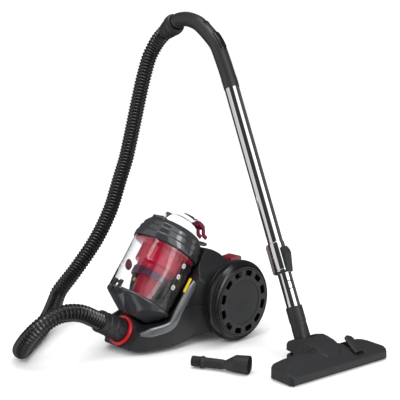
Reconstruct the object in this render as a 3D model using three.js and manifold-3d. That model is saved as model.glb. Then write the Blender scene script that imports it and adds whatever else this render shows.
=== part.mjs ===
// Bagless canister vacuum cleaner: canister, suction hose, telescopic wand, floor head and small tool.
// Millimetres, +Z up. The canister's front is -Y and its wheels turn about X.
import * as THREE from 'three';
import { mergeVertices } from 'three/addons/utils/BufferGeometryUtils.js';
import Module from 'manifold-3d';

const wasm = await Module();
wasm.setup();

// ---------------------------------------------------------------- driving dimensions
const GAP = 0.4;                 // clearance between pieces that touch
const RUN = 0.6;                 // clearance between pieces that slide or turn in each other
const SHELL = 3;                 // wall of the moulded covers
const GRID = 0.01;               // vertices are rounded to this, so that none nearly meet

const BODY = { halfWidth: 98, splitZ: 88, rearY: 108, bottomZ: 14, noseBottomZ: 9 };
const WHEEL = { radius: 90, width: 37, bodyGap: 4, hub: 54, plate: 74, axle: 7 };
const SLOTS = { count: 12, from: 58.5, to: 70.5, halfAngle: 0.135 };
const BIN = { y: -181, z: 100, radius: 73.5, wall: 2.5, length: 125, tilt: 38, clearance: 3 };
const CUP = { depth: 38, floorRadius: 30, floorShift: 8, rim: 5, wall: 2.5 };
const LID = { height: 53, topRadius: 57, wall: 3 };
const INLET = { y: -233, z: 46, tilt: 30, boreRadius: 26, ringWall: 7, ringLength: 8 };
const CONNECTOR = { clearance: 0.8, wall: 8.2, length: 66 };
const HOSE = { radius: 19, sides: 10, steps: 40 };
const MOTOR = { behindBin: 102.5, z: 82, radius: 46, wallGap: 6, reelGap: 34, spindle: 6 };
const REEL = { radius: 58, core: 24, width: 48, wallGap: 24, flange: 2.5 };
const FILTER = { radius: 25, thickness: 10, behindBin: 22.5, up: 131, reelGap: 1 };
const DUCT = { behindBin: 24.5, riseZ: 36.5, width: 22, height: 13, wall: 2 };
const CASTER = { x: 50, y: -158, radius: 9, width: 9, pocket: 17, trail: 5 };
const PEDAL = { inset: 53, y: 45, width: 32, length: 36, top: 169, thickness: 9 };
const GRILLE = { inset: 52, low: 96, high: 132, thickness: 4, slats: 6 };
const GLAND = { inset: 36, z: 72, radius: 9, bore: 4 };
const TRIM = { height: 10, thickness: 3.5 };
const WAND = { x: 307, y: 8, z: 30, yaw: 7.6, lean: 25.1 };
const UPPER = { radius: 16.5, wall: 0.8, from: 154, to: 592 };
const LOWER = { clearance: 0.9, wall: 0.8, from: 46, to: 530 };
const SLIDER = { back: 323, up: 652, tilt: 39 };
const GRIP = { socketWall: 1.1, wall: 3.1, cuffFrom: 575 };
const SWIVEL = { back: 450.3, up: 664.5, dip: 27, length: 44, bore: 15 };
const HEAD = { pivotX: -23.4, halfLength: 137, front: 88, back: 20, height: 38, bumper: 19, sole: 1.6 };
const HOOD = { back: -42, half: 36 };
const PEDAL_TONGUE = { y: 63, hinge: [70, 27] };
const ROLLER = { x: -31, radius: 8, axle: 2.2, reach: 25.5, width: 10 };
const TOOL = { x: 289, y: -142, z: 18.6, turn: 25.5, mouthRadius: 18.5 };

// Sizes that follow from the ones above.
const wheelInner = BODY.halfWidth + WHEEL.bodyGap;
const ringRadius = INLET.boreRadius + INLET.ringWall;
const connectorRadius = INLET.boreRadius - CONNECTOR.clearance;
const connectorBore = connectorRadius - CONNECTOR.wall;
const reelX = BODY.halfWidth - REEL.wallGap - REEL.width;
const binBack = BIN.y + BIN.radius;
const motorY = binBack + MOTOR.behindBin;
const pedalX = BODY.halfWidth - PEDAL.inset;
const grilleHalfWidth = BODY.halfWidth - GRILLE.inset;
const glandX = BODY.halfWidth - GLAND.inset;
const lowerRadius = UPPER.radius - UPPER.wall - LOWER.clearance;
const gripRadius = UPPER.radius + GRIP.socketWall;
const deckZ = PEDAL.top - 13;

// ---------------------------------------------------------------- geometry helpers
const rad = THREE.MathUtils.degToRad;
const v3 = (x, y, z) => new THREE.Vector3(x, y, z);

/** One clean closed surface: vertices on a fine grid and merged, no empty triangles, faces out. */
function closed(geometry) {
  const bare = geometry.index ? geometry.toNonIndexed() : geometry.clone();
  for (const name of Object.keys(bare.attributes)) if (name !== 'position') bare.deleteAttribute(name);
  const places = bare.attributes.position.array;
  for (let i = 0; i < places.length; i++) places[i] = Math.round(places[i] / GRID) * GRID;
  const merged = mergeVertices(bare, 1e-3);
  const from = merged.index.array;
  const p = merged.attributes.position;
  const kept = [];
  let volume = 0;
  const [a, b, c] = [v3(), v3(), v3()];
  for (let i = 0; i < from.length; i += 3) {
    const [ia, ib, ic] = [from[i], from[i + 1], from[i + 2]];
    if (ia === ib || ib === ic || ia === ic) continue;
    kept.push(ia, ib, ic);
    a.fromBufferAttribute(p, ia);
    volume += a.dot(b.fromBufferAttribute(p, ib).cross(c.fromBufferAttribute(p, ic)));
  }
  if (volume < 0) for (let i = 0; i < kept.length; i += 3) [kept[i], kept[i + 1]] = [kept[i + 1], kept[i]];
  merged.setIndex(kept);
  return merged;
}

/** A closed geometry as a manifold solid. */
function solid(geometry) {
  const clean = closed(geometry);
  const mesh = new wasm.Mesh({
    numProp: 3,
    vertProperties: Float32Array.from(clean.attributes.position.array),
    triVerts: Uint32Array.from(clean.index.array),
  });
  return new wasm.Manifold(mesh);
}

/** A manifold solid as a geometry. */
function geometryOf(manifold) {
  const mesh = manifold.getMesh();
  const geometry = new THREE.BufferGeometry();
  geometry.setAttribute('position', new THREE.BufferAttribute(mesh.vertProperties, 3));
  geometry.setIndex(new THREE.BufferAttribute(mesh.triVerts, 1));
  return geometry;
}

/** The solid without the crumbs, under a cubic millimetre, that rounding leaves where faces nearly meet. */
function withoutCrumbs(manifold) {
  return wasm.Manifold.compose(manifold.decompose().filter((body) => body.volume() > 1));
}

const cut = (base, ...tools) => geometryOf(tools.reduce((s, t) => s.subtract(solid(t)), solid(base)));
const join = (base, ...more) => geometryOf(more.reduce((s, t) => s.add(solid(t)), solid(base)));
const common = (base, ...more) => geometryOf(more.reduce((s, t) => s.intersect(solid(t)), solid(base)));

/** A solid of revolution about +Z from [radius, z] points that start and end on the axis. */
function turned(outline, segments = 24) {
  const points = outline.map(([r, z]) => new THREE.Vector2(r, z));
  return closed(new THREE.LatheGeometry(points, segments).rotateX(Math.PI / 2));
}

/** A ring of revolution about +Z from [radius, z] points that close on themselves. */
const ring = (outline, segments = 24) => turned([...outline, outline[0]], segments);

/** A plain tube about +Z. */
const pipe = (outer, inner, z0, z1, segments = 24) =>
  ring([[inner, z0], [outer, z0], [outer, z1], [inner, z1]], segments);

/** A plain round bar about +Z. */
const bar = (radius, z0, z1, segments = 20) =>
  turned([[0, z0], [radius, z0], [radius, z1], [0, z1]], segments);

const box = (x0, x1, y0, y1, z0, z1) =>
  new THREE.BoxGeometry(x1 - x0, y1 - y0, z1 - z0).translate((x0 + x1) / 2, (y0 + y1) / 2, (z0 + z1) / 2);

/** A shape from [x, y] points with each corner rounded by up to radius. */
function outlineShape(points, radius = 0) {
  const corners = points.map(([x, y]) => new THREE.Vector2(x, y));
  const shape = new THREE.Shape();
  corners.forEach((corner, i) => {
    const before = corners[(i + corners.length - 1) % corners.length];
    const after = corners[(i + 1) % corners.length];
    const reach = Math.min(radius, before.distanceTo(corner) / 2.2, after.distanceTo(corner) / 2.2);
    const enter = corner.clone().lerp(before, reach / before.distanceTo(corner));
    const leave = corner.clone().lerp(after, reach / after.distanceTo(corner));
    if (i === 0) shape.moveTo(enter.x, enter.y);
    else shape.lineTo(enter.x, enter.y);
    if (radius > 0) shape.quadraticCurveTo(corner.x, corner.y, leave.x, leave.y);
  });
  shape.closePath();
  return shape;
}

/** An outline extruded along +Z from z0 to z1. */
function plate(points, z0, z1, radius = 0, holes = [], curveSegments = 2) {
  const shape = outlineShape(points, radius);
  shape.holes = holes;
  const options = { depth: z1 - z0, bevelEnabled: false, curveSegments };
  return new THREE.ExtrudeGeometry(shape, options).translate(0, 0, z0);
}

const yzToXy = new THREE.Matrix4().set(0, 0, 1, 0, 1, 0, 0, 0, 0, 1, 0, 0, 0, 0, 0, 1);

/** A [y, z] outline extruded along X from x0 to x1. */
const sidePlate = (points, x0, x1, radius = 0) => plate(points, x0, x1, radius).applyMatrix4(yzToXy);

/** An [x, z] outline extruded along Y from y0 to y1. */
const frontPlate = (points, y0, y1, radius = 0) => plate(points, -y1, -y0, radius).rotateX(Math.PI / 2);

/** A closed body through rings of matching points, capped at both ends. */
function lofted(rings) {
  const count = rings[0].length;
  const at = (i, j) => rings[i][(j + count) % count];
  const positions = [];
  const face = (...points) => points.forEach((p) => positions.push(p.x, p.y, p.z));
  for (let i = 0; i + 1 < rings.length; i++) {
    for (let j = 0; j < count; j++) {
      face(at(i, j), at(i, j + 1), at(i + 1, j + 1));
      face(at(i, j), at(i + 1, j + 1), at(i + 1, j));
    }
  }
  for (const i of [0, rings.length - 1]) {
    const middle = rings[i].reduce((sum, p) => sum.add(p), v3()).divideScalar(count);
    for (let j = 0; j < count; j++) {
      if (i === 0) face(at(i, j + 1), at(i, j), middle);
      else face(at(i, j), at(i, j + 1), middle);
    }
  }
  const geometry = new THREE.BufferGeometry();
  geometry.setAttribute('position', new THREE.Float32BufferAttribute(positions, 3));
  return closed(geometry);
}

/** A ring of points: an oval of half-sizes rx and ry about centre, square-sided as power rises above 2. */
function oval(centre, rx, ry, count, power = 2, along = v3(1, 0, 0), across = v3(0, 1, 0)) {
  return Array.from({ length: count }, (_, i) => {
    const a = (2 * Math.PI * (i + 0.5)) / count;
    const c = Math.sign(Math.cos(a)) * Math.abs(Math.cos(a)) ** (2 / power);
    const s = Math.sign(Math.sin(a)) * Math.abs(Math.sin(a)) ** (2 / power);
    return centre.clone().addScaledVector(along, rx * c).addScaledVector(across, ry * s);
  });
}

/** A cross-section shape swept along a curve. */
function swept(curve, shape, steps) {
  const options = { steps, extrudePath: curve, bevelEnabled: false, curveSegments: 2 };
  return closed(new THREE.ExtrudeGeometry(shape, options));
}

function ovalShape(rx, ry, count, innerRx = 0, innerRy = 0) {
  const points = (a, b) => oval(v3(), a, b, count).map((p) => new THREE.Vector2(p.x, p.y));
  const shape = new THREE.Shape(points(rx, ry));
  if (innerRx > 0) shape.holes.push(new THREE.Path(points(innerRx, innerRy).reverse()));
  return shape;
}

/** Half the body's width at a place along it, between the points of its plan. */
function widthAt(plan, y) {
  const i = plan.findIndex((p) => p[1] > y);
  const [a, b] = [plan[Math.max(i - 1, 0)], plan[Math.max(i, 1)]];
  return a[0] + ((b[0] - a[0]) * (y - a[1])) / (b[1] - a[1]);
}

// ---------------------------------------------------------------- scene-graph helpers
const COLOURS = {
  charcoal: { color: 0x2b2c2e, roughness: 0.5, metalness: 0 },
  gloss: { color: 0x3a3c3f, roughness: 0.2, metalness: 0 },
  trim: { color: 0x6a6d70, roughness: 0.2, metalness: 0.3 },
  red: { color: 0xb5161f, roughness: 0.25, metalness: 0 },
  clear: { color: 0xe8eaec, roughness: 0.05, metalness: 0 },
  chrome: { color: 0xd5d7da, roughness: 0.08, metalness: 1 },
  rubber: { color: 0x1a1b1c, roughness: 0.7, metalness: 0 },
  steel: { color: 0x9a9c9e, roughness: 0.35, metalness: 1 },
  foam: { color: 0x3f6d86, roughness: 0.95, metalness: 0 },
  bristle: { color: 0x151515, roughness: 0.9, metalness: 0 },
};

function part(parent, name, finish, geometry) {
  let body = withoutCrumbs(solid(geometry));
  for (let pass = 0; pass < 3; pass++) body = withoutCrumbs(solid(geometryOf(body)));
  const mesh = new THREE.Mesh(geometryOf(body), new THREE.MeshStandardMaterial(COLOURS[finish]));
  mesh.name = name;
  parent.add(mesh);
  return mesh;
}

function group(parent, x, y, z, turn = [0, 0, 0], order = 'XYZ') {
  const g = new THREE.Group();
  g.position.set(x, y, z);
  g.rotation.set(rad(turn[0]), rad(turn[1]), rad(turn[2]), order);
  parent.add(g);
  return g;
}

// ---------------------------------------------------------------- outlines that pieces share
/** The canister's plan on its +X side, front to back: [half width, y]. */
const noseY = INLET.y - 16;
const PLAN = [
  [38, noseY], [62, INLET.y + 18], [74, BIN.y + 6], [BIN.radius + 5.5, BIN.y + 30],
  [BIN.radius + 7, BIN.y + 90], [BODY.halfWidth, BIN.y + 122], [BODY.halfWidth, BODY.rearY - 34],
  [BODY.halfWidth - 16, BODY.rearY],
];
const planOutline = (inset) => {
  const along = (i) => (i === 0) - (i === PLAN.length - 1);
  const side = PLAN.map(([x, y], i) => [x - inset, y + inset * along(i)]);
  return [...side, ...side.map(([x, y]) => [-x, y]).reverse()];
};

const binSin = Math.sin(rad(BIN.tilt));
const binCos = Math.cos(rad(BIN.tilt));
/** A point of the bin's frame, y to the rear and z along its axis, as [y, z] of the canister. */
const fromBin = (y, z) => [BIN.y + y * binCos + z * binSin, BIN.z - y * binSin + z * binCos];
const placeInBin = (g) => g.rotateX(-rad(BIN.tilt)).translate(0, BIN.y, BIN.z);

const inletSin = Math.sin(rad(INLET.tilt));
const inletCos = Math.cos(rad(INLET.tilt));
/** A point on the inlet's axis, out from its ring, as [y, z] of the canister. */
const fromInlet = (out) => [INLET.y - out * inletCos, INLET.z + out * inletSin];
const placeAtInlet = (g) => g.rotateX(Math.PI / 2 - rad(INLET.tilt)).translate(0, INLET.y, INLET.z);

/** Where the cradle's sides end: along the nose, then up parallel to the bin's axis. */
const cradleEdge = {
  front: [INLET.y + 6, INLET.z + 4],
  corner: [BIN.y + 25, BIN.z - 42],
  top: fromBin(47, 72),
};

/** The solid that the bin, its lid and a clearance take out of the canister. */
function binSpace(extra) {
  const r = BIN.radius + 1.5 + BIN.clearance + extra;
  const steps = [
    [0, -CUP.depth - BIN.clearance - extra, CUP.floorRadius + BIN.clearance + extra, CUP.floorShift],
    [0, -CUP.rim, r, 0],
    [0, BIN.length - 4, r, 0],
    [0, BIN.length + 3, r + 2, 0],
    [0, BIN.length + 160, r + 2, 0],
  ];
  return placeInBin(lofted(steps.map(([x, z, radius, y]) => oval(v3(x, y, z), radius, radius, 32))));
}

// ---------------------------------------------------------------- canister body
function lowerOutline(inset) {
  const [cornerY, cornerZ] = cradleEdge.corner;
  const slope = (cradleEdge.top[1] - cornerZ) / (cradleEdge.top[0] - cornerY);
  const top = BODY.splitZ + (inset > 0 ? 5 : 0);
  return [
    [noseY + inset, BODY.noseBottomZ + 6 + inset], [noseY + 18, BODY.noseBottomZ + inset],
    [BIN.y + 30, BODY.noseBottomZ + inset], [binBack - 5.5, BODY.noseBottomZ + 3 + inset],
    [binBack + 14.5, 23 + inset], [binBack + 49.5, 21 + inset], [binBack + 91.5, BODY.bottomZ + inset],
    [60, BODY.bottomZ + inset],
    [BODY.rearY - 13, 36 + inset], [BODY.rearY - inset, 66], [BODY.rearY - inset, top],
    [cornerY + 1.3 * inset + (top - cornerZ) / slope, top], [cornerY + 1.3 * inset, cornerZ],
    cradleEdge.front, [noseY + 18, INLET.z - 4],
  ];
}

function makeLowerChassis(parent) {
  const x = BODY.halfWidth + 10;
  const slab = common(sidePlate(lowerOutline(0), -x, x), plate(planOutline(0), 0, 200, 8));
  const seat = -INLET.ringLength / 2 - GAP - 0.1;
  const hornOutline = [[0, -30], [ringRadius + 3, -30], [ringRadius + 1, seat], [0, seat]];
  const horn = placeAtInlet(turned(hornOutline, 28));
  const hornAboveFloor = common(horn, box(-60, 60, INLET.y - 60, INLET.y + 80, BODY.noseBottomZ, 120));
  const inside = common(sidePlate(lowerOutline(SHELL), -x, x), plate(planOutline(SHELL), 0, 200, 6));
  const rearRoom = common(inside, box(-x, x, BIN.y + 58, BODY.rearY, 0, 120));
  const tunnel = box(-25, 25, INLET.y + 22, binBack - 3.5, BODY.noseBottomZ + SHELL, 43);
  const boreRadius = INLET.boreRadius + 1;
  const boreOutline = [[0, -52], [boreRadius, -52], [boreRadius, seat], [60, seat], [60, 30], [0, 30]];
  const bore = placeAtInlet(turned(boreOutline, 28));
  const pockets = [-1, 1].map((side) =>
    bar(CASTER.pocket, 0, 30, 24).translate(side * CASTER.x, CASTER.y, 0));
  const gland = bar(GLAND.radius + GAP, 0, 30, 16).rotateX(-Math.PI / 2)
    .translate(glandX, BODY.rearY - 20, GLAND.z);
  const room = cut(rearRoom, binSpace(SHELL));
  const shell = cut(join(slab, hornAboveFloor), binSpace(0), room, tunnel, bore, ...pockets, gland);
  part(parent, 'lower_chassis', 'charcoal', shell);
}

function upperOutline(inset) {
  const [cornerY, cornerZ] = cradleEdge.corner;
  const slope = (cradleEdge.top[1] - cornerZ) / (cradleEdge.top[0] - cornerY);
  const base = BODY.splitZ + (inset > 0 ? -5 : GAP);
  return [
    [cornerY + inset + (base - cornerZ) / slope, base], fromBin(47 + inset, 72), fromBin(56 + inset, 168),
    [-22, 194 - inset], [-2, 192 - inset], [12, 184 - inset], [26, 171 - inset], [38, deckZ + 2 - inset],
    [60, deckZ - inset], [88, deckZ - 3 - inset], [BODY.rearY - 7 - inset, deckZ - 14],
    [BODY.rearY - inset, deckZ - 40],
    [BODY.rearY - inset, base],
  ];
}

const upperFront = (inset) => {
  const half = [
    [0, 70], [0, 118], [5, 136], [15, 152], [28, 163], [40, 178], [52, 205],
  ].map(([inward, z]) => [BODY.halfWidth - inward - inset, z]);
  return [...half, ...half.map(([px, pz]) => [-px, pz]).reverse()];
};

function makeUpperHousing(parent) {
  const x = BODY.halfWidth + 10;
  const far = 300;
  const blank = (inset) => common(
    sidePlate(upperOutline(inset), -x, x),
    common(plate(planOutline(inset), 0, 260, 8), frontPlate(upperFront(inset), -far, far)),
  );
  const wells = [-1, 1].map((side) => box(
    side * pedalX - PEDAL.width / 2 - RUN, side * pedalX + PEDAL.width / 2 + RUN,
    PEDAL.y - RUN, PEDAL.y + PEDAL.length + RUN, PEDAL.top - PEDAL.thickness - 14, PEDAL.top + 20));
  const vent = box(-grilleHalfWidth - GAP, grilleHalfWidth + GAP, BODY.rearY - 12, BODY.rearY + 9,
    GRILLE.low - GAP, GRILLE.high + GAP);
  const room = cut(blank(SHELL), binSpace(SHELL));
  part(parent, 'upper_housing', 'charcoal', cut(blank(0), binSpace(0), room, ...wells, vent));
}

function makeExhaust(parent) {
  const { low, high, thickness, slats } = GRILLE;
  const halfWidth = grilleHalfWidth;
  const pitch = (high - low - 8) / slats;
  const slots = Array.from({ length: slats }, (_, i) =>
    box(-halfWidth + 7, halfWidth - 7, 0, 60, low + 4 + (i + 0.25) * pitch, low + 4 + (i + 0.8) * pitch)
      .translate(0, BODY.rearY - 30, 0));
  const back = BODY.rearY - GAP;
  const panel = box(-halfWidth, halfWidth, back - thickness, back, low, high);
  part(parent, 'exhaust_grille', 'charcoal', cut(panel, ...slots));
  part(parent, 'exhaust_filter', 'foam',
    box(-halfWidth + 4, halfWidth - 4, back - thickness - 12, back - thickness - GAP, low + 3, high - 3));
}

function makeTrim(parent) {
  const { height, thickness } = TRIM;
  const body = plate(planOutline(-GAP), 0, 200, 8);
  const [frontY, frontZ] = cradleEdge.front;
  const [cornerY, cornerZ] = cradleEdge.corner;
  const [topY, topZ] = cradleEdge.top;
  const path = [
    [frontY + 8, frontZ - 5.6], [(frontY + cornerY) / 2, (frontZ + cornerZ) / 2 - 6],
    [cornerY - 3, cornerZ - 6], [cornerY + 5, cornerZ - 3],
    [(cornerY + topY) / 2 + 4.7, (cornerZ + topZ) / 2 - 3.7], [topY + 4.7, topZ - 3.7],
  ];
  const curve = new THREE.CatmullRomCurve3(path.map(([y, z]) => v3(0, y, z)));
  const steps = 9;
  for (const side of [-1, 1]) {
    const rings = [];
    for (let i = 0; i <= steps; i++) {
      const p = curve.getPointAt(i / steps);
      const t = curve.getTangentAt(i / steps);
      const up = v3(0, -t.z, t.y).multiplyScalar(height / 2);
      const edge = (s, out) => {
        const q = p.clone().addScaledVector(up, s);
        q.x = side * (widthAt(PLAN, q.y) + 3 * GAP + out);
        return q;
      };
      rings.push([
        edge(-1, 0), edge(1, 0), edge(1, thickness - 1), edge(0.6, thickness), edge(-0.6, thickness),
        edge(-1, thickness - 1),
      ]);
    }
    part(parent, side > 0 ? 'cradle_trim_right' : 'cradle_trim_left', 'trim', cut(lofted(rings), body));
  }
}

function makeInlet(parent) {
  const { boreRadius: inner, ringLength: length } = INLET;
  const outer = ringRadius;
  const h = length / 2;
  part(parent, 'inlet_ring', 'red', placeAtInlet(
    ring([[inner, -h], [outer - 1.5, -h], [outer, -h + 1.5], [outer, h - 2], [outer - 2, h], [inner, h]])));
  const [startY, startZ] = fromInlet(-16);
  const [floorY, floorZ] = [BIN.y + 22, BODY.noseBottomZ + SHELL + 15];
  const back = BIN.radius + DUCT.behindBin;
  const points = [
    [startY, startZ], [(startY + floorY) / 2, (startZ + floorZ) / 2 - 2], [floorY, floorZ],
    [binBack - 23.5, floorZ], fromBin(back, (DUCT.riseZ - BIN.z + back * binSin) / binCos),
    fromBin(back - 1, 26),
  ];
  const curve = new THREE.CatmullRomCurve3(points.map(([y, z]) => v3(0, y, z)));
  const { width, height, wall } = DUCT;
  const section = ovalShape(width, height, 12, width - wall, height - wall);
  part(parent, 'inlet_duct', 'charcoal', swept(curve, section, 10));
}

// ---------------------------------------------------------------- motor, cable reel and filter
function makeMotor(parent) {
  const alongX = (g) => g.rotateY(Math.PI / 2).translate(0, motorY, MOTOR.z);
  const { radius: r, spindle } = MOTOR;
  const endX = MOTOR.wallGap - BODY.halfWidth;
  const end = reelX - MOTOR.reelGap;
  const spindleEnd = reelX + REEL.width + 8;
  const casing = turned([
    [14, endX], [r - 6, endX], [r, endX + 6], [r, end - 4], [r - 4, end], [spindle + 8, end],
    [spindle + 3, end + 10], [spindle, end + 12], [spindle, spindleEnd], [0, spindleEnd], [0, end - 2.5],
    [r - 3, end - 4], [r - 3, endX + 6], [r - 8, endX + 3], [14, endX + 3], [14, endX],
  ], 20);
  part(parent, 'motor_casing', 'charcoal', alongX(casing));
  part(parent, 'motor_rotor', 'steel', alongX(turned([
    [0, endX + 4], [4, endX + 4], [4, endX + 30], [20, endX + 30], [20, end - 18], [4, end - 18],
    [4, end - 6], [0, end - 6],
  ], 16)));
  part(parent, 'motor_fan', 'steel', alongX(ring([
    [4.4, endX + 8], [14, endX + 8], [r - 8, endX + 14], [r - 8, endX + 18], [10, endX + 20],
    [4.4, endX + 20],
  ], 16)));
  const { radius: rim, core, width, flange } = REEL;
  const bore = spindle + RUN;
  const x = reelX;
  part(parent, 'cord_drum', 'charcoal', alongX(ring([
    [bore, x], [rim, x], [rim, x + flange], [core, x + flange], [core, x + width - flange],
    [rim, x + width - flange], [rim, x + width], [bore, x + width],
  ], 20)));
  const half = FILTER.thickness / 2;
  const filter = bar(FILTER.radius, -half, half, 24).rotateX(Math.PI / 2)
    .translate(reelX - FILTER.reelGap - FILTER.radius, BIN.radius + FILTER.behindBin, FILTER.up);
  part(parent, 'motor_filter', 'foam', placeInBin(filter));
  const { radius: neck, bore: hole } = GLAND;
  part(parent, 'cord_gland', 'rubber', ring([
    [hole, -8], [neck, -8], [neck, 3.5], [neck + 4, 3.5], [neck + 4, 6], [neck - 1, 7.5], [hole, 7.5],
  ], 14).rotateX(-Math.PI / 2).translate(glandX, BODY.rearY - 3, GLAND.z));
}

// ---------------------------------------------------------------- pedals
function makePedals(parent) {
  for (const side of [-1, 1]) {
    const { width, length, top, thickness } = PEDAL;
    const outline = [
      [0, top - thickness - 3], [length, top - thickness - 3], [length, top - 4], [length - 9, top],
      [6, top - 1.5], [0, top - 5],
    ];
    const pedal = sidePlate(outline, -width / 2, width / 2, 1.5).translate(side * pedalX, PEDAL.y, 0);
    part(parent, side > 0 ? 'power_pedal' : 'cord_rewind_pedal', 'red', pedal);
  }
}

// ---------------------------------------------------------------- wheels
const circlePoints = (radius, count) => Array.from({ length: count }, (_, i) => {
  const a = (2 * Math.PI * i) / count;
  return [radius * Math.cos(a), radius * Math.sin(a)];
});

function makeWheel(parent, side) {
  const name = side > 0 ? 'right' : 'left';
  const out = (g) => g.rotateY((side * Math.PI) / 2).translate(side * wheelInner, 0, WHEEL.radius);
  const { radius: r, width: w, plate: p, hub, axle } = WHEEL;
  part(parent, `wheel_${name}_tyre`, 'rubber', out(ring([
    [p + GAP, 1], [r - 7, 1], [r, 10], [r, w - 11], [r - 2, w - 4], [r - 8, w + 1], [p + GAP, w + 2],
  ], 36)));
  part(parent, `wheel_${name}_rim`, 'charcoal', out(ring([
    [axle + RUN, 2], [14, 2], [14, 12], [p - 3, 12], [p - 3, 3], [p, 3], [p, w - 6], [p - 2, w - 6],
    [p - 2, 16], [14, 16], [14, 28], [axle + RUN, 28],
  ])));
  const slotShape = (i) => {
    const middle = (2 * Math.PI * (i + 0.5)) / SLOTS.count;
    const path = new THREE.Path();
    path.absarc(0, 0, SLOTS.to, middle - SLOTS.halfAngle, middle + SLOTS.halfAngle, false);
    path.absarc(0, 0, SLOTS.from, middle + SLOTS.halfAngle, middle - SLOTS.halfAngle, true);
    path.closePath();
    return path;
  };
  const slots = Array.from({ length: SLOTS.count }, (_, i) => slotShape(i));
  const web = plate(circlePoints(p - GAP, 36), w - 4, w, 0, slots, 1);
  part(parent, `wheel_${name}_cover`, 'charcoal', out(join(web, bar(hub, w - 1, w + 2.5, 24))));
  part(parent, `axle_${name}`, 'steel', out(turned([
    [0, GAP - WHEEL.bodyGap], [18, GAP - WHEEL.bodyGap], [18, -GAP], [axle, -GAP], [axle, 30],
    [axle + 2, 30.6], [axle + 2, 33], [0, 33],
  ], 16)));
}

function makeCaster(parent, side) {
  const name = side > 0 ? 'right' : 'left';
  const { radius: r, width, pocket, trail } = CASTER;
  const g = group(parent, side * CASTER.x, CASTER.y, 0);
  const cheek = (s) => box(s * (width / 2 + RUN), s * (width / 2 + RUN + 2), trail - 6, trail + 6, r - 4, 24);
  const crown = bar(pocket - 3, 22, 27, 16);
  const pin = bar(1.5, -width / 2 - 3, width / 2 + 3, 12).rotateY(Math.PI / 2).translate(0, trail, r);
  part(g, `caster_${name}_fork`, 'charcoal', join(crown, cheek(1), cheek(-1), pin));
  part(g, `caster_${name}_wheel`, 'rubber', ring([
    [1.5 + GAP, -width / 2], [r - 1, -width / 2], [r, -width / 2 + 1], [r, width / 2 - 1], [r - 1, width / 2],
    [1.5 + GAP, width / 2],
  ], 18).rotateY(Math.PI / 2).translate(0, trail, r));
}

// ---------------------------------------------------------------- dust bin
function makeBin(parent) {
  const g = group(parent, 0, BIN.y, BIN.z, [-BIN.tilt, 0, 0]);
  const { radius: r, wall, length } = BIN;
  const port = box(-16, 16, 40, r + 10, 14, 36);
  part(g, 'bin_tube', 'clear', cut(pipe(r, r - wall, GAP, length, 32), port));

  const cup = (inset) => lofted([
    oval(v3(0, CUP.floorShift, -CUP.depth + inset), CUP.floorRadius - inset, CUP.floorRadius - inset, 24),
    oval(v3(0, 0, -CUP.rim), r + 1 - inset, r + 1 - inset, 24),
    oval(v3(0, 0, inset > 0 ? 2 : 0), r + 1 - inset, r + 1 - inset, 24),
  ]);
  part(g, 'bin_base', 'gloss', cut(cup(0), cup(CUP.wall)));

  const clipX = 9;
  const loop = (s) => cut(
    box(s * clipX - 4, s * clipX + 4, -r - 7, -r - 1.4, -12, 14),
    bar(2 + RUN, -8, 8, 12).rotateY(Math.PI / 2).translate(s * clipX, -r - 4.2, -3));
  const clip = join(loop(-1), loop(1), box(-clipX, clipX, -r - 4.5, -r - 1.4, 6, 12));
  part(g, 'base_hinge', 'charcoal', clip);
  part(g, 'base_hinge_pin', 'steel', bar(2, -16, 16, 12).rotateY(Math.PI / 2).translate(0, -r - 4.2, -3));

  part(g, 'cyclone_body', 'red', ring([
    [30, 66], [41, 66], [41, 77], [50, 79], [50, length - 6], [r - wall - 1, length - 5],
    [r - wall - 1, length - 1], [30, length - 1],
  ]));
  part(g, 'cyclone_cone', 'red', ring([
    [17, 4], [20, 4], [28, 56], [36, 58], [36, 65], [26, 65],
  ], 20));
  part(g, 'mesh_shroud', 'steel', pipe(44, 42.5, 50, 65.6));
  return g;
}

function makeLid(g) {
  const { radius: r, wall, length } = BIN;
  const top = length + LID.height;
  const z0 = length + GAP;
  const cap = turned([
    [0, top], [LID.topRadius, top], [LID.topRadius + 5, top - 3], [r - 4, top - 14], [r - 3.5, top - 22],
    [r - 1, top - 23], [r, top - 34], [r + 2, top - 36], [r + 3, z0 + 2], [r + 2, z0], [r - wall - 2, z0],
    [r - wall - 3, top - 24], [LID.topRadius - 2, top - LID.wall], [0, top - LID.wall],
  ], 28);
  const toLid = (points) => points.map(([y, z]) => {
    const [dy, dz] = [y - BIN.y, z - BIN.z];
    return [dy * binCos - dz * binSin, dy * binSin + dz * binCos];
  });
  const tabSide = [[-40, 194], [-30, 204], [0, 206], [20, 203], [25, 197], [8, 195.5], [-28, 196]];
  const tab = sidePlate(toLid(tabSide), -22, 22, 1.5);
  const pad = box(-17, 17, -LID.topRadius - 5, -LID.topRadius + 14, top - 3, top + 2);
  part(g, 'bin_lid', 'gloss', join(cap, tab, pad));
  part(g, 'lid_seal', 'rubber', pipe(r - wall - 3.4, r - wall - 6.4, length - 0.6, length + 3.4));

  const arch = new THREE.CatmullRomCurve3([
    [-LID.topRadius + 4, top + 4.6], [-LID.topRadius + 6, top + 11], [-40, top + 24], [-14, top + 36],
    [16, top + 43], [48, top + 46],
  ].map(([y, z]) => v3(0, y, z)));
  const gripSection = outlineShape([[-14, -5.5], [14, -5.5], [14, 5.5], [-14, 5.5]], 3);
  part(g, 'carry_handle', 'clear', swept(arch, gripSection, 16));
  const [footY, footZ] = toLid([[17, 204.6]])[0];
  const hook = new THREE.CatmullRomCurve3([
    [49, top + 46], [60, top + 45.5], [70, top + 41], [78, top + 32], [footY, footZ + 5.2],
  ].map(([y, z]) => v3(0, y, z)));
  const leverSection = outlineShape([[-12, -5.5], [12, -5.5], [12, 5.5], [-12, 5.5]], 3);
  part(g, 'bin_release_lever', 'red', swept(hook, leverSection, 10));
}

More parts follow.
